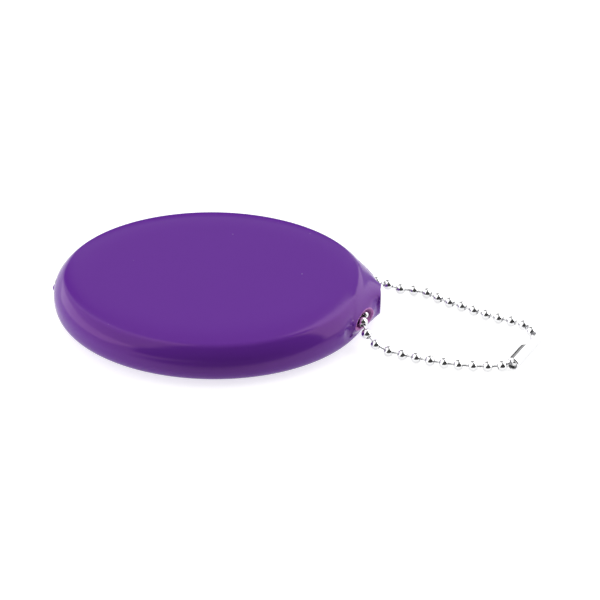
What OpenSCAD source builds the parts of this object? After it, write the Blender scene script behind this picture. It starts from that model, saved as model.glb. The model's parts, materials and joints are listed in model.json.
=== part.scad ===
// Squeeze coin purse: a flat oval moulded body with a slit in its base, a short
// neck at one end, and a loop of ball chain through the neck, closed by a clasp.
// Millimetres. +X runs along the purse to the neck, +Z is up, it lies on z = 0.
// The origin is under the middle of the purse, on the resting plane.

/* [View] */
// Piece to show, or all of them

/* [Oval body] */
// Half length of the oval
oval_a = 36.2; // [30:0.1:42]
// Half width of the oval
oval_b = 29; // [24:0.1:34]
// Half thickness of the purse
half_t = 5.3; // [4:0.1:8]
// Width of the rounded rim, measured in from the outline
rim_band = 9; // [6:0.5:12]
// How late the rim starts to fall: higher is flatter
rim_late = 4; // [2:0.5:6]
// How full the rim's side is: higher is squarer
rim_full = 2.6; // [2:0.1:4]
// Wall thickness of the top and of the base
wall = 1.8; // [1.2:0.1:2.5]

/* [Neck] */
// Distance from the middle of the purse to the neck's end
neck_x = 38.1; // [37:0.1:42]
// Half width of the neck's end
tip_w = 3.6; // [3:0.1:5]
// Half thickness of the neck's end
tip_h = 2.9; // [2.5:0.1:4]
// How fast the neck widens towards the body
neck_flare = 1.65; // [1:0.05:2.5]
// How fast the neck thickens towards the body
neck_rise = 0.35; // [0.1:0.05:0.6]
// Where the neck's top starts under the body's top
neck_foot = 26; // [20:1:30]
// Width of the channel left by the mould core in the neck
channel_w = 4.4; // [3:0.1:5]
// Height of that channel
channel_h = 2.8; // [2:0.1:4]
// Distance of the chain hole from the middle of the purse
hole_x = 34.8; // [33:0.1:36]
// Radius of the chain hole
hole_r = 2.1; // [2:0.1:2.6]

/* [Slit lips] */
// Half length of the slit
slit_x = 29; // [20:1:30]
// Half length of the straight fold line of a lip
fold_x = 16; // [8:1:20]
// Distance of the fold lines from the slit
fold_y = 16; // [10:1:18]
// Gap between a lip and the base around it
lip_gap = 0.2; // [0.1:0.05:0.4]

/* [Ball chain] */
// Bead radius
bead_r = 1.2; // [1:0.05:1.6]
// Inner radius of the hollow bead
bead_in = 0.95; // [0.7:0.05:1.2]
// Radius of the two holes in a bead
bead_hole = 0.6; // [0.4:0.05:0.8]
// Radius of the link wire
wire_r = 0.24; // [0.2:0.01:0.3]
// Radius of the heads that hold a link in its beads
head_r = 0.66; // [0.62:0.01:0.7]
// Thickness of those heads
head_t = 0.24; // [0.2:0.02:0.3]
// Length of a link over its heads' inner faces
link_l = 2; // [1.8:0.05:2.3]
// Bead spacing on the front strand
near_pitch = 3.24; // [3.1:0.01:3.3]
// Bead spacing on the rear strand
far_pitch = 3.13; // [3:0.01:3.3]

/* [Clasp] */
// Outer radius of the clasp trough
clasp_r = 1.6; // [1.5:0.05:2]
// Inner radius of the clasp trough
clasp_in = 1.32; // [1.25:0.01:1.6]
// Length of trough beyond the end beads
clasp_over = 1.45; // [1.3:0.05:2]
// Thickness of the end walls
clasp_end = 0.2; // [0.15:0.05:0.4]
// Half width of the slot in the closed half
slot_half = 0.55; // [0.4:0.05:0.7]

/* [Hidden] */
mid_z = half_t;
over = 1;
// Rings of the outer surface as parts of the outline, then the middle point
rings = [1, 0.996, 0.987, 0.972, 0.947, 0.912, 0.86, 0.78, 0.5];
cavity_rings = [1, 0.994, 0.98, 0.95, 0.9, 0.84, 0.76, 0.5];
// The cavity ends short of the neck, so its oval sits a little off centre
cavity_x = -1.65;
cavity_a = 32.7;
cavity_b = 27.2;
cavity_t = half_t - wall;
cavity_band = 7.2;
neck_root = 32.4;
neck_power = 2.4;
foot_slope = 0.67;
crease_soft = 0.02;
// Link headings in whole degrees from +X, and bead heights, out from the neck
neck_start = [34.4, -9.4];
neck_stop = [35.3, 5.3];
neck_count = 6;
near_heads = [-70, -42, -16, -16, -18, -16, -13, -9, -4, -1, 5, 28];
far_heads = [56, 22, 3, 6, -15, -35, -31, -27, -28, -28, -25, -19, -30, -55, -76];
near_z = [5.3, 4.1, 2.5, 1.4, 1.2, 1.2, 1.2, 1.2, 1.2, 1.2, 1.2, 1.3, 1.6];
far_z = [5.3, 4.4, 3, 1.8, 1.3, 1.2, 1.2, 1.2, 1.2, 1.2, 1.2, 1.2, 1.2, 1.3, 1.45, 1.6];

// Oval helpers: how far inside an oval a point lies, and a rounded rise there
function level(x, y, a, b) = norm([x / a, y / b]);
function inset(x, y, a, b) =
    let (f = level(x, y, a, b))
    f < 0.01 ? b : (1 - f) * f / norm([x / (a * a), y / (b * b)]);
function rise(x, y, a, b, t, band) =
    let (u = 1 - inset(x, y, a, b) / band)
    u >= 1 ? 0 : t * pow(1 - pow(max(0, u), rim_late), 1 / rim_full);

// Neck helpers: half width, half thickness and rise of the neck alone
function neck_w(x) =
    x > neck_root ? tip_w + neck_flare * (neck_x - x) : oval_b * sqrt(1 - pow(x / oval_a, 2));
function neck_t(x) = min(tip_h + neck_rise * (neck_x - x), foot_slope * (x - neck_foot));
function neck_up(x, y) =
    let (t = x > neck_foot ? abs(y) / neck_w(x) : 1)
    t >= 1 ? 0 : neck_t(x) * pow(1 - pow(t, neck_power), 1 / neck_power);

// The body and the neck run into each other with a soft crease
function soft_max(p, q) = (p + q + sqrt(pow(p - q, 2) + crease_soft * p * q)) / 2;
function outer_up(x, y) =
    soft_max(rise(x, y, oval_a, oval_b, half_t, rim_band), neck_up(x, y));
function cavity_up(x, y) =
    rise(x, y, cavity_a, cavity_b, cavity_t, cavity_band);

// Outline of the purse by angle: the oval, with the neck drawn out of its end
tip_angle = atan(tip_w / neck_x);
root_angle = atan(neck_w(neck_root) / neck_root);
function oval_at(t, a, b) = 1 / norm([cos(t) / a, sin(t) / b]);
function neck_at(t) =
    min((tip_w + neck_flare * neck_x) / (sin(abs(t)) + neck_flare * cos(t)), neck_x / cos(t));
function outline_at(t) =
    let (r = oval_at(t, oval_a, oval_b))
    abs(t) < root_angle ? max(r, neck_at(t)) : r;
front_turn = concat([2, 4, tip_angle], [for (t = [7 : 2 : 23]) t], [26], [for (t = [30 : 5 : 175]) t]);
columns = concat([0], front_turn, [180], [for (i = [len(front_turn) - 1 : -1 : 0]) -front_turn[i]]);
cavity_columns = [for (t = [0 : 6 : 354]) t];

outer_rim = [for (t = columns) outline_at(t) * [cos(t), sin(t)]];
cavity_rim = [for (t = cavity_columns) oval_at(t, cavity_a, cavity_b) * [cos(t), sin(t)]];
outer_rise = [for (s = rings) [for (p = outer_rim) s == 1 ? 0 : outer_up(s * p.x, s * p.y)]];
cavity_rise = [for (s = cavity_rings) [for (p = cavity_rim) s == 1 ? 0 : cavity_up(s * p.x, s * p.y)]];

// A closed pebble: rings shared out above and below the middle plane
module pebble(rim, parts, up, top) {
    n = len(rim);
    m = len(parts);
    above = [for (j = [0 : m - 1]) for (i = [0 : n - 1])
        let (p = parts[j] * rim[i]) [p.x, p.y, up[j][i]]];
    below = [for (j = [1 : m - 1]) for (i = [0 : n - 1])
        let (p = parts[j] * rim[i]) [p.x, p.y, -up[j][i]]];
    points = concat(above, below, [[0, 0, top], [0, 0, -top]]);
    low = [for (j = [0 : m - 1]) j == 0 ? 0 : (m + j - 1) * n];
    last = len(points) - 2;
    top_sides = [for (j = [0 : m - 2]) for (i = [0 : n - 1])
        let (k = (i + 1) % n, a = j * n, b = (j + 1) * n)
        each [[a + i, b + i, b + k], [a + i, b + k, a + k]]];
    low_sides = [for (j = [0 : m - 2]) for (i = [0 : n - 1])
        let (k = (i + 1) % n, a = low[j], b = low[j + 1])
        each [[a + i, b + k, b + i], [a + i, a + k, b + k]]];
    top_fan = [for (i = [0 : n - 1]) [(m - 1) * n + i, last, (m - 1) * n + (i + 1) % n]];
    low_fan = [for (i = [0 : n - 1]) [low[m - 1] + i, low[m - 1] + (i + 1) % n, last + 1]];
    polyhedron(points, concat(top_sides, low_sides, top_fan, low_fan), convexity = 4);
}

// Plan of both closed lips, drawn smaller by a gap all round
module lip_plan(gap) {
    run = norm([slit_x - fold_x, fold_y]);
    cut_x = gap * run / fold_y;
    fold_in = gap * (run - (slit_x - fold_x)) / fold_y;
    polygon([
        [slit_x - cut_x, 0],
        [fold_x - fold_in, fold_y - gap],
        [-fold_x + fold_in, fold_y - gap],
        [-slit_x + cut_x, 0],
        [-fold_x + fold_in, -fold_y + gap],
        [fold_x - fold_in, -fold_y + gap]
    ]);
}

// Open channel through the neck into the cavity, as the mould core leaves it
module neck_channel() {
    r = channel_h / 2;
    side = channel_w / 2 - r;
    core_in = 2;
    start = neck_foot + core_in;
    length = neck_x + over - start;
    translate([start, -side, mid_z - r])
        cube([length, 2 * side, channel_h]);
    for (s = [-1, 1])
        translate([start, s * side, mid_z])
            rotate([0, 90, 0])
                cylinder(r = r, h = length, $fn = 48);
}

// Small drip left where the dipped skin runs off the far end of the mould
module drip() {
    tip_r = 0.45;
    root_r = 1;
    tip_end = 0.92;
    root_in = 0.7;
    tip_up = 1.7;
    translate([-oval_a - tip_end + tip_r, 0, mid_z + tip_up]) {
        sphere(r = tip_r, $fn = 32);
        rotate([0, 90, 0])
            cylinder(r1 = tip_r, r2 = root_r, h = tip_end - tip_r + root_in, $fn = 32);
    }
}

module shell() {
    color([0.24, 0.1, 0.42])
    difference() {
        union() {
            translate([0, 0, mid_z])
                pebble(outer_rim, rings, outer_rise, half_t);
            drip();
        }
        translate([cavity_x, 0, mid_z])
            pebble(cavity_rim, cavity_rings, cavity_rise, cavity_t);
        translate([0, 0, -over])
            linear_extrude(mid_z + over)
                lip_plan(0);
        neck_channel();
        translate([hole_x, 0, mid_z])
            rotate([90, 0, 0])
                cylinder(r = hole_r, h = 2 * oval_b, center = true, $fn = 64);
    }
}

// One lip: side -1 is the front one, side 1 the rear one
module lip(side) {
    color([0.22, 0.09, 0.4])
    linear_extrude(wall)
        intersection() {
            lip_plan(lip_gap);
            translate([-slit_x, side > 0 ? lip_gap : -fold_y])
                square([2 * slit_x, fold_y - lip_gap]);
        }
}

module front_lip() {
    lip(-1);
}

module rear_lip() {
    lip(1);
}

// Bead centres, walked out along the headings with a constant spacing
function walk(start, heads, zs, pitch, i) =
    i == 0 ? [start.x, start.y, zs[0]] :
    let (
        p = walk(start, heads, zs, pitch, i - 1),
        dz = zs[i] - zs[i - 1],
        r = sqrt(pitch * pitch - dz * dz)
    )
    p + [r * cos(heads[i - 1]), r * sin(heads[i - 1]), dz];
near_path = [for (i = [0 : len(near_heads)]) walk(neck_start, near_heads, near_z, near_pitch, i)];
far_path = [for (i = [0 : len(far_heads)]) walk(neck_stop, far_heads, far_z, far_pitch, i)];
neck_run = far_path[0] - near_path[0];
neck_path = [for (i = [0 : neck_count - 1]) near_path[0] + neck_run * i / (neck_count - 1)];
// The whole open chain in order, from the front end bead to the rear end bead
near_n = len(near_heads);
chain = concat(
    [for (i = [near_n : -1 : 1]) near_path[i]],
    neck_path,
    [for (i = [1 : len(far_heads)]) far_path[i]]
);
chain_end = len(chain) - 1;
function unit(v) = v / norm(v);
function turn_to(v) = [0, acos(v.z / norm(v)), atan2(v.y, v.x)];

// Hollow bead number i of the chain, its holes halfway between its two links
module bead(i) {
    back = i > 0 ? unit(chain[i] - chain[i - 1]) : unit(chain[1] - chain[0]);
    ahead = i < chain_end ? unit(chain[i + 1] - chain[i]) : back;
    color([0.8, 0.81, 0.83])
    translate(chain[i])
        rotate(turn_to(back + ahead))
            difference() {
                sphere(r = bead_r, $fn = 48);
                sphere(r = bead_in, $fn = 48);
                cylinder(r = bead_hole, h = 2 * bead_r + over, center = true, $fn = 32);
            }
}

// Headed wire between bead i and the next one
module link(i) {
    span = chain[i + 1] - chain[i];
    color([0.72, 0.73, 0.75])
    translate(chain[i] + span / 2)
        rotate(turn_to(span)) {
            cylinder(r = wire_r, h = link_l, center = true, $fn = 24);
            for (s = [-1, 1])
                translate([0, 0, s * (link_l + head_t) / 2])
                    cylinder(r = head_r, h = head_t, center = true, $fn = 32);
        }
}

module neck_bead(k) {
    bead(near_n + k - 1);
}

module near_bead(k) {
    bead(near_n - k);
}

module far_bead(k) {
    bead(near_n + neck_count - 1 + k);
}

// Links inside the neck and the first one out of each mouth
module neck_links() {
    for (i = [near_n - 1 : near_n + neck_count - 1])
        link(i);
}

// Links from row k of beads to the next row, one on each strand
module row_links(k) {
    link(near_n - k - 1);
    link(near_n + neck_count - 1 + k);
}

// The last row carries the rear strand round to its end bead
module end_links() {
    for (i = [near_n + neck_count - 1 + near_n : chain_end - 1])
        link(i);
}

// Wedge of a round bar along X between two angles, seen along the bar
module sector_bar(from, to, r, length) {
    steps = 8;
    reach = r * 2;
    rotate([90, 0, 90])
        linear_extrude(length)
            polygon(concat([[0, 0]],
                [for (i = [0 : steps]) let (t = from + (to - from) * i / steps) reach * [cos(t), sin(t)]]));
}

// Pressed trough over both end beads: the half round the front bead is closed but
// for a slot, the other half is open, so only the rear end bead can be pulled out
module chain_connector() {
    first = chain[0];
    span = chain[chain_end] - first;
    length = norm(span);
    open_low = -75;
    open_high = 100;
    wire_way = 0.45;
    mouth_half = 0.9;
    mouth_depth = 0.95;
    color([0.78, 0.79, 0.81])
    translate(first)
        rotate([0, 0, atan2(span.y, span.x)])
            difference() {
                translate([-clasp_over, 0, 0])
                    rotate([0, 90, 0])
                        cylinder(r = clasp_r, h = length + 2 * clasp_over, $fn = 64);
                translate([clasp_end - clasp_over, 0, 0])
                    rotate([0, 90, 0])
                        cylinder(r = clasp_in, h = length + 2 * (clasp_over - clasp_end), $fn = 64);
                translate([length / 2, 0, 0])
                    sector_bar(open_low, open_high, clasp_r, length / 2 + clasp_over + over);
                translate([-clasp_over - over, 0, -slot_half])
                    cube([length / 2 + clasp_over + 2 * over, clasp_r + over, 2 * slot_half]);
                translate([-clasp_over - over, -wire_way, -mouth_half])
                    cube([mouth_depth + over, clasp_r + over, 2 * mouth_half]);
            }
}

shell();
front_lip();
rear_lip();
chain_connector();
neck_links();
row_links(1);  // row_01_links
row_links(2);  // row_02_links
row_links(3);  // row_03_links
row_links(4);  // row_04_links
row_links(5);  // row_05_links
row_links(6);  // row_06_links
row_links(7);  // row_07_links
row_links(8);  // row_08_links
row_links(9);  // row_09_links
row_links(10);  // row_10_links
row_links(11);  // row_11_links
end_links();  // row_12_links
neck_bead(1);  // neck_bead_01
neck_bead(2);  // neck_bead_02
neck_bead(3);  // neck_bead_03
neck_bead(4);  // neck_bead_04
neck_bead(5);  // neck_bead_05
neck_bead(6);  // neck_bead_06
near_bead(1);  // near_bead_01
near_bead(2);  // near_bead_02
near_bead(3);  // near_bead_03
near_bead(4);  // near_bead_04
near_bead(5);  // near_bead_05
near_bead(6);  // near_bead_06
near_bead(7);  // near_bead_07
near_bead(8);  // near_bead_08
near_bead(9);  // near_bead_09
near_bead(10);  // near_bead_10
near_bead(11);  // near_bead_11
near_bead(12);  // near_bead_12
far_bead(1);  // far_bead_01
far_bead(2);  // far_bead_02
far_bead(3);  // far_bead_03
far_bead(4);  // far_bead_04
far_bead(5);  // far_bead_05
far_bead(6);  // far_bead_06
far_bead(7);  // far_bead_07
far_bead(8);  // far_bead_08
far_bead(9);  // far_bead_09
far_bead(10);  // far_bead_10
far_bead(11);  // far_bead_11
far_bead(12);  // far_bead_12
far_bead(13);  // far_bead_13
far_bead(14);  // far_bead_14
far_bead(15);  // far_bead_15
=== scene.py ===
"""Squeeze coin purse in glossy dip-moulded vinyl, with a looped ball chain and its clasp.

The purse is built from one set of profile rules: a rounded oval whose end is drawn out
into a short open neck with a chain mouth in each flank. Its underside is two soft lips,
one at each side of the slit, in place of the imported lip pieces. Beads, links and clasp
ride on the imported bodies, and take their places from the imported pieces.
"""

import json
import math

import bpy
import numpy as np
from mathutils import Matrix, Vector

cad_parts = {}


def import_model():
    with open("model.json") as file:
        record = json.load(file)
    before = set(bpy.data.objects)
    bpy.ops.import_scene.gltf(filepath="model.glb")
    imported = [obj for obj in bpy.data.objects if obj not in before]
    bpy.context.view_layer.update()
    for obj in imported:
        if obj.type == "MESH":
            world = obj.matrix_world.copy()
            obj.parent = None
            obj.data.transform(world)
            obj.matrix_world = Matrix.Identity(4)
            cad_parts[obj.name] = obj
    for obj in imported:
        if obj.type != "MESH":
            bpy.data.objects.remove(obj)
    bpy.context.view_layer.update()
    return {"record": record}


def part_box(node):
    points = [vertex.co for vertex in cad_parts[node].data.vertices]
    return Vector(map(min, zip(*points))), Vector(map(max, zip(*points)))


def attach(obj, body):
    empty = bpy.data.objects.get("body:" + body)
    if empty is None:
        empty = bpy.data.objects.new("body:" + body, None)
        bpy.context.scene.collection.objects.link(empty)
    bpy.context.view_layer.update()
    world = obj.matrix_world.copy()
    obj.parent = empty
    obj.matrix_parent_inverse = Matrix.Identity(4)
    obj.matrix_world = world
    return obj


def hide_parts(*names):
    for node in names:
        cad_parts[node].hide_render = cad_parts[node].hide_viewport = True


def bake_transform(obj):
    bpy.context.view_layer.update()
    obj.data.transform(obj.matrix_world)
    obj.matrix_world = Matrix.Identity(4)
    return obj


MM = 0.001

# Purse body, in millimetres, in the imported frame. The rim falls over a band inside the oval;
# on the top it is broken by a soft crease at one inset and height
OVAL = (36.2, 29.0)
HALF_T = 5.3
RIM_BAND, RIM_LATE, RIM_FULL = 9.0, 4, 2.6
CREASE_IN, CREASE_Z, CREASE_POWER, CREASE_SOFT = 2.3, 4.6, 0.44, 0.04
SKIN = 1.45

# Neck: its cut end, its size there, and how it widens, thickens and starts
NECK_X = 38.1
NECK_LONG = 38.25
TIP_W, TIP_H = 3.6, 2.9
NECK_FLARE, NECK_RISE, NECK_POWER = 1.65, 0.35, 2.4
NECK_FOOT, NECK_FOOT_SLOPE, NECK_ROOT = 26.0, 0.67, 32.4
NECK_SOFT = 0.02

# Chain mouths: place and radius, the raised lip round them and the hollows at their sides
HOLE_X, HOLE_UP, HOLE_R = 34.75, 0.5, 1.72
MOUTH_LIP, MOUTH_LIP_WIDTH = 0.22, 0.4
HOLLOW_DEPTH, HOLLOW_R, HOLLOW_WIDTH = 0.5, 3.2, 0.85
HOLLOW_SIDE = (0.95, 0.31)
FLANK_Y = 3.3

# Lips of the slit, and the drip at the far end
LIP_OVAL = (30.0, 21.0)
LIP_DOME = 0.5
SLIT_GAP = 0.05
DRIP_TALL, DRIP_WIDE, DRIP_FOOT = 0.55, 0.95, (0.1, 0.07)
DRIP_AT, DRIP_TILT = (-36.15, 0, HALF_T + 0.2), -88

# Ball chain, in millimetres; strands are counted out from the neck
BEAD_R, BEAD_HOLE, BEAD_INSIDE, BEAD_SEAM = 1.2, 0.6, 0.9, 0.025
WIRE_R, HEAD_R, LINK_L = 0.24, 0.62, 2.0
NEAR_BEADS, NECK_BEADS, FAR_BEADS = 12, 6, 15

# Clasp trough, in millimetres; half angles of its slot, the slot's end and its open half
CLASP_R, CLASP_OVER, CLASP_WALL = 1.6, 1.45, 0.26
CLASP_ROUND, CLASP_DRAWN = 0.5, 0.26
SLOT, SLOT_END, OPEN_TOP, OPEN_LOW = 24, 38, 96, 75

# Light table: shade and glow of the white floor and of the dark card in front, the place
# of the card's soft edges, and the floor's extra glow for the camera alone
FLOOR_SHADE, FLOOR_GLOW = 0.6, 0.58
CARD_SHADE, CARD_GLOW = 0.15, 0.02
CARD_Y, CARD_X = (-0.044, -0.031), (-0.042, -0.014)
SEEN_GLOW = 0.13
FLOOR_SIZE = 6000

# Camera, as fitted to the photograph
CAMERA_AZIMUTH, CAMERA_ELEVATION = 3.11, 35.0
CAMERA_DISTANCE = 0.7
CAMERA_AIM = (0.01979, -0.00152)
FOCAL_IN_FRAMES = 3080 / 600


def smooth(x, low, high):
    """0 below low, 1 above high, and a smooth run between them."""
    t = np.clip((x - low) / (high - low), 0, 1)
    return t * t * (3 - 2 * t)


# --- shape rules of the purse ---------------------------------------------------------


def neck_width(x):
    """Half width of the outline at x: the oval, then the neck."""
    oval = OVAL[1] * np.sqrt(np.clip(1 - (x / OVAL[0]) ** 2, 0, 1))
    return np.where(x > NECK_ROOT, TIP_W + NECK_FLARE * (NECK_LONG - x), oval)


def soft_min(p, q):
    """The lower of two heights, rounded where they cross."""
    return (p + q - np.sqrt((p - q) ** 2 + CREASE_SOFT**2)) / 2


def inset_of(x, y):
    """Distance from the oval's edge to a point inside it, square to the edge."""
    f = np.hypot(x / OVAL[0], y / OVAL[1])
    slope = np.hypot(x / OVAL[0] ** 2, y / OVAL[1] ** 2)
    return np.where(f > 0.02, (1 - f) * f / np.maximum(slope, 1e-6), OVAL[1])


def body_rise(x, y):
    """Height of the pebble over its middle plane, on the plain underside."""
    u = np.clip(1 - inset_of(x, y) / RIM_BAND, 0, 1)
    return HALF_T * (1 - u**RIM_LATE) ** (1 / RIM_FULL)


def crown_rise(x, y):
    """Height over the middle plane on the top: rounded flank, soft crease, low crown."""
    inset = inset_of(x, y)
    flank = CREASE_Z * (np.clip(inset, 0, None) / CREASE_IN) ** CREASE_POWER
    fall = np.clip(RIM_BAND - inset, 0, None) / (RIM_BAND - CREASE_IN)
    crown = HALF_T - (HALF_T - CREASE_Z) * fall**2
    return np.where(inset > 0.3, soft_min(flank, crown), flank)


def neck_rise(x, y):
    """Height of the neck alone over the middle plane."""
    foot = NECK_FOOT_SLOPE * (x - NECK_FOOT)
    height = np.minimum(TIP_H + NECK_RISE * (NECK_X - x), foot)
    t = np.abs(y) / np.maximum(neck_width(x), 0.1)
    side = np.clip(1 - t**NECK_POWER, 0, 1) ** (1 / NECK_POWER)
    return np.where(x > NECK_FOOT, np.maximum(height, 0) * side, 0)


def outer_rise(x, y, body=body_rise):
    """Height of body and neck together, run into each other."""
    p, q = body(x, y), neck_rise(x, y)
    return (p + q + np.sqrt((p - q) ** 2 + NECK_SOFT * p * q)) / 2


def outline(theta):
    """Points of the outline at angles from +X: the oval with the neck drawn out of it."""
    oval = 1 / np.hypot(np.cos(theta) / OVAL[0], np.sin(theta) / OVAL[1])
    root = math.atan2(float(neck_width(np.array(NECK_ROOT))), NECK_ROOT)
    c = np.maximum(np.cos(theta), 0.5)
    flank = (TIP_W + NECK_FLARE * NECK_LONG) / (np.abs(np.sin(theta)) + NECK_FLARE * c)
    neck = np.minimum(flank, NECK_LONG / c)
    r = np.where(np.abs(theta) < root, np.maximum(oval, neck), oval)
    return r[:, None] * np.column_stack([np.cos(theta), np.sin(theta)])


def flank_y(x, up):
    """Half width of the outer surface at x, at a height up above or below the middle."""
    low, high = np.zeros_like(x), neck_width(x)
    for _ in range(40):
        mid = (low + high) / 2
        inside = outer_rise(x, mid) > up
        low, high = np.where(inside, mid, low), np.where(inside, high, mid)
    return low


def columns():
    """Column angles: close together round the neck, even elsewhere, with both corners."""
    corner = math.degrees(math.atan2(TIP_W, NECK_LONG))
    neck_end = 27
    near = np.concatenate([np.linspace(0, corner, 9)[:-1], np.linspace(corner, neck_end, 46)])
    side = np.concatenate([near, np.linspace(neck_end, 180, 76)[1:]])
    return np.radians(np.concatenate([side, -side[1:-1][::-1]]))


def ring_shares():
    """Rings from the outline in: even steps of rim height first, then even insets."""
    height = np.concatenate([np.linspace(0, 0.9, 25), [0.93, 0.955, 0.975, 0.99]])
    inset = RIM_BAND * (1 - (1 - height**RIM_FULL) ** (1 / RIM_LATE))
    mean_radius = 32
    inner = [0.82, 0.78, 0.72, 0.64, 0.54, 0.42, 0.28, 0.14]
    return np.concatenate([1 - inset / mean_radius, inner])


# --- small mesh helpers ---------------------------------------------------------------


def mesh_object(name, points, faces, material, scale=MM):
    """A smooth shaded object, from points in millimetres, or at scale 1 in metres."""
    mesh = bpy.data.meshes.new(name)
    mesh.from_pydata((np.asarray(points, float) * scale).tolist(), [], faces)
    mesh.validate()
    mesh.shade_smooth()
    mesh.materials.append(material)
    obj = bpy.data.objects.new(name, mesh)
    bpy.context.scene.collection.objects.link(obj)
    return obj


def grid_faces(rows, cols, closed=True, first=0):
    """Quads of a grid whose point (i, j) is number first + i * cols + j."""
    last = cols if closed else cols - 1
    return [
        (first + i * cols + j, first + i * cols + (j + 1) % cols,
         first + (i + 1) * cols + (j + 1) % cols, first + (i + 1) * cols + j)
        for i in range(rows - 1)
        for j in range(last)
    ]


def revolve(name, profile, segments, material, groove=0.0):
    """A surface turned about Z from (radius, z) pairs, with a seam that deep along it."""
    turn = np.linspace(0, 2 * np.pi, segments, endpoint=False)
    from_seam = np.minimum(turn, 2 * np.pi - turn) / 0.09
    dent = 1 - groove * np.exp(-(from_seam**2))
    ring = list(zip(np.cos(turn), np.sin(turn), dent))
    points = [(r * c * d, r * s * d, z) for r, z in profile for c, s, d in ring]
    return mesh_object(name, points, grid_faces(len(profile), segments), material)


def add_thickness(obj, thickness):
    """Gives a surface a wall behind its faces, in millimetres, and rounds its edges."""
    skin = obj.modifiers.new("thickness", "SOLIDIFY")
    skin.thickness = thickness * MM
    skin.offset = -1
    soft = obj.modifiers.new("smooth", "SUBSURF")
    soft.levels = soft.render_levels = 1


# --- materials ------------------------------------------------------------------------


class Shader:
    """A material with a Principled surface and short calls for its nodes."""

    def __init__(self, name):
        self.material = bpy.data.materials.new(name)
        self.material.use_nodes = True
        self.tree = self.material.node_tree
        self.surface = self.tree.nodes["Principled BSDF"]
        self.place = self.node("ShaderNodeTexCoord").outputs["Object"]

    def node(self, kind, **settings):
        made = self.tree.nodes.new(kind)
        for key, value in settings.items():
            setattr(made, key, value)
        return made

    def join(self, source, target):
        self.tree.links.new(source, target)

    def noise(self, scale, detail=3.0):
        """Fine cloudy values from 0 to 1, at a scale in cells per metre."""
        made = self.node("ShaderNodeTexNoise")
        made.inputs["Scale"].default_value = scale
        made.inputs["Detail"].default_value = detail
        self.join(self.place, made.inputs["Vector"])
        return made.outputs["Fac"]

    def spread(self, value, low, high, to_low, to_high):
        """Maps low..high smoothly onto to_low..to_high, and holds the ends."""
        made = self.node("ShaderNodeMapRange", interpolation_type="SMOOTHSTEP")
        sockets = ("From Min", "From Max", "To Min", "To Max")
        for key, number in zip(sockets, (low, high, to_low, to_high)):
            made.inputs[key].default_value = number
        self.join(value, made.inputs["Value"])
        return made.outputs["Result"]

    def math(self, operation, a, b):
        made = self.node("ShaderNodeMath", operation=operation)
        self.join(a, made.inputs[0])
        self.join(b, made.inputs[1])
        return made.outputs[0]

    def mix(self, factor, a, b):
        """From colour a to colour b; each is a tuple or another node's colour."""
        made = self.node("ShaderNodeMix", data_type="RGBA")
        self.join(factor, made.inputs["Factor"])
        for socket, colour in ((made.inputs["A"], a), (made.inputs["B"], b)):
            if isinstance(colour, tuple):
                socket.default_value = (*colour, 1)
            else:
                self.join(colour, socket)
        return made.outputs["Result"]

    def bump(self, height, strength, distance):
        """Tilts the surface's normal by a height."""
        made = self.node("ShaderNodeBump")
        made.inputs["Strength"].default_value = strength
        made.inputs["Distance"].default_value = distance
        self.join(height, made.inputs["Height"])
        self.join(made.outputs["Normal"], self.surface.inputs["Normal"])


def vinyl():
    """Deep violet gloss with a few pale specks, and a painted pink highlight on the lips round the
    chain mouths.
    """
    s = Shader("violet_vinyl")
    colour = s.mix(s.noise(30, 1), (0.113, 0.0225, 0.275), (0.117, 0.0235, 0.281))
    speck = s.node("ShaderNodeTexVoronoi")
    speck.inputs["Scale"].default_value = 200
    s.join(s.place, speck.inputs["Vector"])
    pale = s.spread(speck.outputs["Distance"], 0.02, 0.055, 0.3, 0)
    colour = s.mix(pale, colour, (0.45, 0.32, 0.6))
    # Painted highlight: pink on the lips round the chain mouths, standing in for light shining
    # through and off the thin vinyl there
    painted_lip_highlight = s.node("ShaderNodeAttribute", attribute_name="painted_lip_highlight").outputs["Fac"]
    colour = s.mix(s.spread(painted_lip_highlight, 0.15, 1, 0, 0.85), colour, (0.62, 0.24, 0.58))
    s.join(colour, s.surface.inputs["Base Color"])
    s.join(s.spread(s.noise(160), 0, 1, 0.1, 0.16), s.surface.inputs["Roughness"])
    s.surface.inputs["IOR"].default_value = 1.5
    s.surface.inputs["Specular IOR Level"].default_value = 0.36
    s.surface.inputs["Specular Tint"].default_value = (1, 0.5, 0.75, 1)
    s.surface.inputs["Subsurface Weight"].default_value = 0.06
    s.surface.inputs["Subsurface Radius"].default_value = (1, 0.3, 1)
    s.surface.inputs["Subsurface Scale"].default_value = 0.0012
    s.bump(s.noise(900, 2), 0.06, 0.0001)
    return s.material


def plated(name, colour, rough, grain):
    """Bright plated metal with a faint uneven polish."""
    s = Shader(name)
    tone = tuple(c * 0.93 for c in colour)
    s.join(s.mix(s.noise(grain), colour, tone), s.surface.inputs["Base Color"])
    polish = s.spread(s.noise(grain * 2), 0.3, 0.7, rough, rough + 0.08)
    s.join(polish, s.surface.inputs["Roughness"])
    s.surface.inputs["Metallic"].default_value = 1
    s.bump(s.noise(grain * 3, 2), 0.05, 0.00004)
    return s.material


# --- purse ----------------------------------------------------------------------------


def mouth_relief(dx, dz):
    """Outward lip round a chain mouth, and the hollows at its two sides."""
    rho = np.hypot(dx, dz)
    raised = MOUTH_LIP * np.exp(-(((rho - HOLE_R) / MOUTH_LIP_WIDTH) ** 2))
    sideways = ((HOLLOW_SIDE[0] * dx + HOLLOW_SIDE[1] * dz) / np.maximum(rho, 0.1)) ** 2
    hollow = HOLLOW_DEPTH * sideways * np.exp(-(((rho - HOLLOW_R) / HOLLOW_WIDTH) ** 2))
    return raised - hollow


def lip_edge(theta):
    """Points of the oval in which the two lips meet the base."""
    r = 1 / np.hypot(np.cos(theta) / LIP_OVAL[0], np.sin(theta) / LIP_OVAL[1])
    return r[:, None] * np.column_stack([np.cos(theta), np.sin(theta)])


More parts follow.
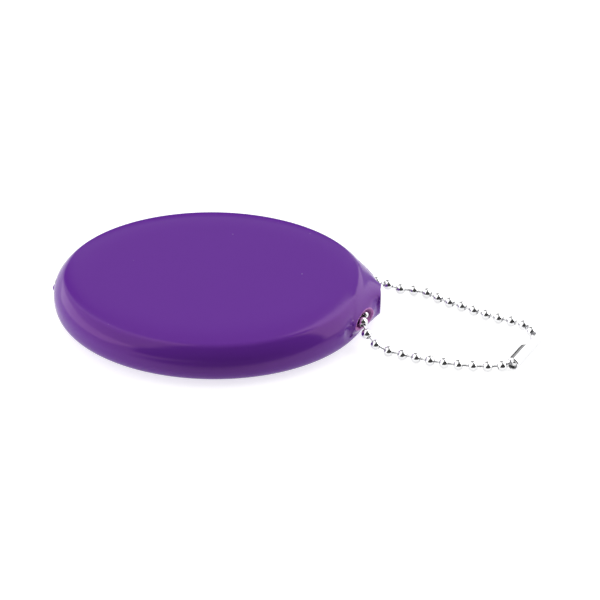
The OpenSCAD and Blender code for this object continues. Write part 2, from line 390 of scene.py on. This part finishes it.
def purse_skin(material):
    """Top, rim and open neck, down to the edge of the two lips."""
    theta, shares = columns(), ring_shares()
    rim, edge = outline(theta), lip_edge(theta)
    n = len(theta)
    rows = []
    for s in reversed(shares):
        xy = rim * s
        up = np.zeros(n) if s == 1 else outer_rise(*xy.T, crown_rise)
        rows.append(np.column_stack([xy, HALF_T + up]))
    under = [s for s in shares[1:] if s > 0.9]
    turn_in = rim * under[-1]
    steps = [rim * s for s in under]
    steps += [turn_in + (edge - turn_in) * k for k in (0.25, 0.5, 0.75, 1)]
    reach = np.linalg.norm(rim - edge, axis=1)
    for xy in steps:
        left = np.linalg.norm(xy - edge, axis=1) / reach
        up = outer_rise(*xy.T)
        rows.append(np.column_stack([xy, HALF_T - up + LIP_DOME * (1 - left**2) * up / HALF_T]))
    points = np.array(rows)
    equator = len(shares) - 1
    points[..., 0] = np.minimum(points[..., 0], NECK_X)

    # Clear the open end of the neck and the two chain mouths
    corner = math.atan2(TIP_W, NECK_LONG) + 1e-4
    tip = np.abs(theta) < corner
    hole_z = HALF_T + HOLE_UP
    rho = np.hypot(points[..., 0] - HOLE_X, points[..., 2] - hole_z)
    on_flank = np.abs(points[..., 1]) > FLANK_Y
    faces = []
    for i in range(len(rows) - 1):
        for j in range(n):
            k = (j + 1) % n
            if i in (equator - 1, equator) and tip[j] and tip[k]:
                continue
            near = [rho[i, j], rho[i, k], rho[i + 1, k], rho[i + 1, j]]
            if on_flank[i, j] and np.mean(near) < HOLE_R:
                continue
            faces.append((i * n + j, (i + 1) * n + j, (i + 1) * n + k, i * n + k))
    flat = points.reshape(-1, 3)
    centre = len(flat)
    faces += [(j, (j + 1) % n, centre) for j in range(n)]
    flat = np.vstack([flat, [0, 0, 2 * HALF_T]])

    # Draw the ragged mouth edges onto the true circle, then raise the lip round them
    count = {}
    for f in faces:
        for a, b in zip(f, f[1:] + f[:1]):
            count[frozenset((a, b))] = count.get(frozenset((a, b)), 0) + 1
    rim_points = sorted({v for e, c in count.items() if c == 1 for v in e})
    mouth = [v for v in rim_points if abs(flat[v, 1]) > FLANK_Y and abs(flat[v, 0] - HOLE_X) < 2.9
             and math.hypot(flat[v, 0] - HOLE_X, flat[v, 2] - hole_z) < 3.2]
    dx, dz = flat[mouth, 0] - HOLE_X, flat[mouth, 2] - hole_z
    r = np.hypot(dx, dz)
    flat[mouth, 0] = HOLE_X + dx / r * HOLE_R
    flat[mouth, 2] = hole_z + dz / r * HOLE_R
    side = np.sign(flat[mouth, 1])
    flat[mouth, 1] = side * flank_y(flat[mouth, 0], np.abs(flat[mouth, 2] - HALF_T))

    obj = mesh_object("purse_skin", flat, faces, material)
    mesh = obj.data
    co = np.array([v.co for v in mesh.vertices]) / MM
    normal = np.array([v.normal for v in mesh.vertices])
    dx, dz = co[:, 0] - HOLE_X, co[:, 2] - hole_z
    zone = (co[:, 0] > 28) & (np.abs(co[:, 1]) > 3) & (np.abs(normal[:, 1]) > 0.2)
    push = np.where(zone, mouth_relief(dx, dz) * smooth(np.abs(normal[:, 1]), 0.2, 0.5), 0)
    mesh.vertices.foreach_set("co", ((co + normal * push[:, None]) * MM).ravel())
    # Painted pink highlight on the lip round each chain mouth, fading out from the hole's edge
    painted_lip_highlight = mesh.attributes.new("painted_lip_highlight", "FLOAT", "POINT")
    pale = np.where(zone, 1 - smooth(np.hypot(dx, dz), HOLE_R + 0.02, HOLE_R + 0.4), 0)
    painted_lip_highlight.data.foreach_set("value", pale.astype(np.float32))
    add_thickness(obj, SKIN)
    return obj


def lip(name, side, material):
    """One soft lip of the underside: half an oval, lowest at the middle of the slit."""
    theta = columns()
    half = np.sort(theta[theta * side >= 0])
    if side < 0:
        half = np.concatenate([[-np.pi], half])
    edge = lip_edge(half)
    shares = np.linspace(0, 1, 15)[1:]
    rows = [edge * s for s in shares]
    points = np.vstack([[[0, 0]]] + rows)
    z = LIP_DOME * ((points[:, 0] / LIP_OVAL[0]) ** 2 + (points[:, 1] / LIP_OVAL[1]) ** 2)
    share = np.concatenate([[0], np.repeat(shares, len(half))])
    y = points[:, 1] + side * SLIT_GAP * (1 - share)
    n = len(half)
    faces = [(0, 2 + j, 1 + j) for j in range(n - 1)]
    faces += grid_faces(len(shares), n, closed=False, first=1)
    return mesh_object(name, np.column_stack([points[:, 0], y, z]), faces, material)


def drip(material):
    """The small drip left at the far end, where the dipped skin ran off the mould."""
    sink, slope = DRIP_FOOT
    profile = [
        (r, DRIP_TALL * math.exp(-((r / DRIP_WIDE) ** 2)) - sink - slope * r)
        for r in np.linspace(0.02, 2, 15)
    ]
    obj = revolve("drip_nub", profile, 32, material)
    turn = Matrix.Rotation(math.radians(DRIP_TILT), 4, "Y")
    obj.matrix_world = Matrix.Translation(Vector(DRIP_AT) * MM) @ turn
    return obj


# --- chain ----------------------------------------------------------------------------


def place(obj, at, along):
    """Moves obj so that its Z runs along a direction, at a point in metres."""
    turn = Vector(along).to_track_quat("Z", "Y").to_matrix().to_4x4()
    obj.matrix_world = Matrix.Translation(at) @ turn


def bead_profile():
    """Closed half section of a hollow bead: rolled hole edge, ball, rolled edge, inside."""
    start = math.asin(BEAD_HOLE / BEAD_R)
    edge_z = BEAD_R * math.cos(start)
    steps = ((0.03, 0.27), (-0.01, 0.14), (0, 0.04), (0.04, 0.005))
    roll = [(BEAD_HOLE + out, edge_z - down) for out, down in steps]
    arc = np.linspace(start + 0.09, math.pi - start - 0.09, 19)
    ball = [(BEAD_R * math.sin(t), BEAD_R * math.cos(t)) for t in arc]
    arc = np.linspace(2.2, 0.95, 7)
    inside = [(BEAD_INSIDE * math.sin(t), BEAD_INSIDE * math.cos(t)) for t in arc]
    return roll + ball + [(r, -z) for r, z in reversed(roll)] + inside + roll[:1]


def link_profile():
    """Half section of a wire with a domed head at each end, about its middle."""
    h = LINK_L / 2
    head = [(0.02, h + 0.24), (0.4, h + 0.22), (HEAD_R, h + 0.12), (HEAD_R, h + 0.04), (0.5, h)]
    end = head + [(WIRE_R + 0.04, h - 0.04), (WIRE_R, h - 0.12)]
    return end + [(WIRE_R, 0)] + [(r, -z) for r, z in reversed(end)]


def clasp_mesh(name, length, material):
    """A pressed trough along X: slotted along its near half, open along its far half."""
    half, start, stop = length / 2, -CLASP_OVER, length + CLASP_OVER
    marks = (start, start + CLASP_ROUND, half - 0.9, half + 0.5, stop - CLASP_ROUND, stop)
    spans = [np.linspace(a, b, n) for a, b, n in zip(marks, marks[1:], (9, 12, 14, 12, 9))]
    xs = np.concatenate([spans[0]] + [span[1:] for span in spans[1:]])
    open_part = smooth(xs, half - 0.8, half + 0.3)
    slot = SLOT + (SLOT_END - SLOT) * (1 - smooth(xs - start, 0.7, 1.1))
    top = np.radians(slot + (OPEN_TOP - slot) * open_part)
    bottom = np.radians(360 - slot - (OPEN_LOW - slot) * open_part)
    end = np.clip(np.minimum(xs - start, stop - xs) / CLASP_ROUND, 0, 1)
    radius = CLASP_R * (1 - CLASP_DRAWN + CLASP_DRAWN * np.sqrt(1 - (1 - end) ** 2))
    steps = np.linspace(0, 1, 41)
    points = []
    for x, r, a, b in zip(xs, radius, top, bottom):
        t = a + (b - a) * steps
        points += [(x, r * c, r * s) for c, s in zip(np.cos(t), np.sin(t))]
    return mesh_object(name, points, grid_faces(len(xs), len(steps), closed=False), material)


def build_chain(nodes_of, bead_metal, wire_metal, clasp_metal):
    """Beads, links and clasp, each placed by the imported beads."""
    names = (
        [f"near_bead_{k:02d}" for k in range(NEAR_BEADS, 0, -1)]
        + [f"neck_bead_{k:02d}" for k in range(1, NECK_BEADS + 1)]
        + [f"far_bead_{k:02d}" for k in range(1, FAR_BEADS + 1)]
    )
    centres = [sum(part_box(n), Vector()) / 2 for n in names]
    last = len(names) - 1
    ball = revolve("ball", bead_profile(), 48, bead_metal, groove=BEAD_SEAM)
    wire = revolve("wire", link_profile(), 20, wire_metal)
    for i, name in enumerate(names):
        back = (centres[max(i, 1)] - centres[max(i, 1) - 1]).normalized()
        ahead = (centres[i + 1] - centres[i]).normalized() if i < last else back
        obj = bpy.data.objects.new(name + "_ball", ball.data.copy())
        bpy.context.scene.collection.objects.link(obj)
        place(obj, centres[i], back + ahead)
        obj.data.transform(obj.matrix_world @ Matrix.Rotation(i * 2.4, 4, "Z"))
        obj.matrix_world = Matrix()
        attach(obj, nodes_of[name])
        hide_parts(name)

    # Link i joins beads i and i + 1; a row holds one link of each strand, the last row three
    first_neck, first_far = NEAR_BEADS - 1, NEAR_BEADS + NECK_BEADS - 1
    rows = NEAR_BEADS - 1
    groups = {
        "neck_links": range(first_neck, first_far + 1),
        "row_12_links": range(first_far + NEAR_BEADS, last),
    }
    for k in range(1, rows + 1):
        groups[f"row_{k:02d}_links"] = (first_neck - k, first_far + k)
    for name, members in groups.items():
        parts = []
        for i in members:
            part = bpy.data.objects.new(f"{name}_{i}", wire.data.copy())
            place(part, (centres[i] + centres[i + 1]) / 2, centres[i + 1] - centres[i])
            part.data.transform(part.matrix_world)
            parts.append(part)
        merged = join_meshes(name + "_wire", [p.data for p in parts], wire_metal)
        for part in parts:
            bpy.data.objects.remove(part)
        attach(merged, nodes_of[name])
        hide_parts(name)
    bpy.data.objects.remove(ball)
    bpy.data.objects.remove(wire)
    span = centres[last] - centres[0]
    clasp = clasp_mesh("clasp_trough", span.length / MM, clasp_metal)
    add_thickness(clasp, CLASP_WALL)
    turn = Matrix.Rotation(math.atan2(span.y, span.x), 4, "Z")
    clasp.matrix_world = Matrix.Translation(centres[0]) @ turn
    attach(clasp, nodes_of["chain_connector"])
    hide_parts("chain_connector")


def join_meshes(name, meshes, material):
    """One object from several meshes in metres."""
    points, faces = [], []
    for mesh in meshes:
        first = len(points)
        points += [tuple(v.co) for v in mesh.vertices]
        faces += [tuple(first + v for v in p.vertices) for p in mesh.polygons]
    return mesh_object(name, points, faces, material, scale=1)


# --- studio ---------------------------------------------------------------------------


def studio_floor():
    """A white light table with a dark card lying on it in front, unseen by the camera."""
    s = Shader("studio_floor")
    split = s.node("ShaderNodeSeparateXYZ")
    s.join(s.place, split.inputs["Vector"])
    beside = s.spread(split.outputs["X"], *CARD_X, 0, 1)
    card = s.math("MULTIPLY", s.spread(split.outputs["Y"], *CARD_Y, 1, 0), beside)
    s.join(s.mix(card, (FLOOR_SHADE,) * 3, (CARD_SHADE,) * 3), s.surface.inputs["Base Color"])
    seen = s.node("ShaderNodeLightPath").outputs["Is Camera Ray"]
    lift = FLOOR_SHADE - CARD_SHADE + FLOOR_GLOW - CARD_GLOW
    made_up = s.math("MULTIPLY", seen, s.spread(card, 0, 1, SEEN_GLOW, SEEN_GLOW + lift))
    glow = s.math("ADD", s.spread(card, 0, 1, FLOOR_GLOW, CARD_GLOW), made_up)
    s.join(glow, s.surface.inputs["Emission Strength"])
    s.surface.inputs["Emission Color"].default_value = (1, 1, 1, 1)
    s.surface.inputs["Roughness"].default_value = 0.9
    s.surface.inputs["Specular IOR Level"].default_value = 0
    far = FLOOR_SIZE
    corners = [(-far, -far, 0), (far, -far, 0), (far, far, 0), (-far, far, 0)]
    mesh_object("studio_floor", corners, [(0, 1, 2, 3)], s.material)


class WorldLight:
    """Light by direction, as soft panels on the inside of a sphere; the camera sees white."""

    def __init__(self):
        world = bpy.data.worlds.new("studio")
        world.use_nodes = True
        bpy.context.scene.world = world
        self.tree = world.node_tree
        self.place = self.tree.nodes.new("ShaderNodeTexCoord").outputs["Generated"]
        split = self.tree.nodes.new("ShaderNodeSeparateXYZ")
        self.tree.links.new(self.place, split.inputs["Vector"])
        x, y, z = split.outputs
        self.turn = self.math("ARCTAN2", x, self.math("MULTIPLY", y, -1.0))
        self.height = self.math("ARCSINE", z)

    def edge(self, value, start, stop):
        """A smooth step from 0 at start to 1 at stop."""
        made = self.tree.nodes.new("ShaderNodeMapRange")
        made.interpolation_type = "SMOOTHSTEP"
        made.inputs["From Min"].default_value = start
        made.inputs["From Max"].default_value = stop
        self.tree.links.new(value, made.inputs["Value"])
        return made.outputs["Result"]

    def math(self, operation, a, b=None):
        """One sum of two values; each is a number or another node's value."""
        made = self.tree.nodes.new("ShaderNodeMath")
        made.operation = operation
        for socket, value in zip(made.inputs, (a, b)):
            if isinstance(value, float):
                socket.default_value = value
            elif value is not None:
                self.tree.links.new(value, socket)
        return made.outputs[0]

    def band(self, value, low, high, edge):
        """1 between two angles in degrees, 0 outside them, with soft edges."""
        rising = self.edge(value, math.radians(low - edge), math.radians(low + edge))
        falling = self.edge(value, math.radians(high + edge), math.radians(high - edge))
        return self.math("MULTIPLY", rising, falling)

    def panel(self, level, turn, height, edge=4.0):
        """A soft rectangle of light between two turns from the front and two heights."""
        across, upright = self.band(self.turn, *turn, edge), self.band(self.height, *height, edge)
        return self.math("MULTIPLY", self.math("MULTIPLY", across, upright), level)

    def cap(self, level, turn, height, radius, edge=3.0):
        """A round soft light about one direction; all in degrees."""
        t, h, reach, soft = (math.radians(angle) for angle in (turn, height, radius, edge))
        aim = (math.sin(t) * math.cos(h), -math.cos(t) * math.cos(h), math.sin(h))
        dot = self.tree.nodes.new("ShaderNodeVectorMath")
        dot.operation = "DOT_PRODUCT"
        dot.inputs[1].default_value = aim
        self.tree.links.new(self.place, dot.inputs[0])
        mask = self.edge(dot.outputs["Value"], math.cos(reach + soft), math.cos(reach - soft))
        return self.math("MULTIPLY", mask, level)

    def finish(self, light):
        """Sets the light for all rays but the camera's own, which see white."""
        path = self.tree.nodes.new("ShaderNodeLightPath").outputs["Is Camera Ray"]
        seen = self.math("MAXIMUM", light, path)
        background = self.tree.nodes["Background"]
        self.tree.links.new(seen, background.inputs["Strength"])
        background.inputs["Color"].default_value = (1, 1, 1, 1)


def studio_light():
    """A large round light at the left, a tall one at the right, grey behind, a dim front."""
    w = WorldLight()
    light = w.cap(1.42, -94.0, 37.0, 46.0)
    for other in (
        w.panel(2.5, (72.0, 140.0), (-20.0, 62.0), 2.5),
        w.panel(2.5, (140.0, 170.0), (20.0, 62.0), 2.5),
        w.panel(0.8, (140.0, 170.0), (-20.0, 20.0), 2.5),
        w.panel(1.3, (-158.0, -44.0), (-20.0, 22.0)),
        w.panel(0.45, (-220.0, -160.0), (18.0, 66.0)),
        w.panel(0.45, (170.0, 220.0), (18.0, 66.0), 2.5),
        w.panel(0.35, (-220.0, 220.0), (66.0, 120.0)),
        w.panel(0.05, (-50.0, 72.0), (-20.0, 60.0)),
    ):
        light = w.math("ADD", light, other)
    w.finish(light)


def camera():
    """The photograph's camera, aimed from the middle of the purse's middle plane."""
    a, e = math.radians(CAMERA_AZIMUTH), math.radians(CAMERA_ELEVATION)
    back = Vector((math.sin(a) * math.cos(e), -math.cos(a) * math.cos(e), math.sin(e)))
    right = Vector((math.cos(a), math.sin(a), 0))
    up = back.cross(right)
    aim = Vector((0, 0, HALF_T * MM)) + right * CAMERA_AIM[0] + up * CAMERA_AIM[1]
    data = bpy.data.cameras.new("camera")
    data.lens = data.sensor_width * FOCAL_IN_FRAMES
    data.clip_start, data.clip_end = 0.05, 50
    obj = bpy.data.objects.new("camera", data)
    bpy.context.scene.collection.objects.link(obj)
    turn = Matrix((right, up, back)).transposed().to_4x4()
    obj.matrix_world = Matrix.Translation(aim + back * CAMERA_DISTANCE) @ turn
    bpy.context.scene.camera = obj


def main():
    """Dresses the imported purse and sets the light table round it."""
    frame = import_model()
    nodes_of = {n: b for b, nodes in frame["record"]["behaviour"]["bodies"].items() for n in nodes}
    violet = vinyl()
    skin, nub = purse_skin(violet), drip(violet)
    for obj in (skin, nub):
        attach(obj, "purse")
    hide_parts("shell")
    for name, side in (("front_lip", -1), ("rear_lip", 1)):
        flap = lip(name + "_skin", side, violet)
        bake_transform(flap)
        add_thickness(flap, SKIN)
        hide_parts(name)
    build_chain(
        nodes_of,
        plated("bead_plating", (0.86, 0.86, 0.87), 0.08, 500),
        plated("wire_plating", (0.74, 0.74, 0.76), 0.2, 700),
        plated("clasp_plating", (0.86, 0.86, 0.87), 0.1, 350),
    )
    studio_floor()
    studio_light()
    camera()
    bpy.context.scene.view_settings.view_transform = "Standard"


main()
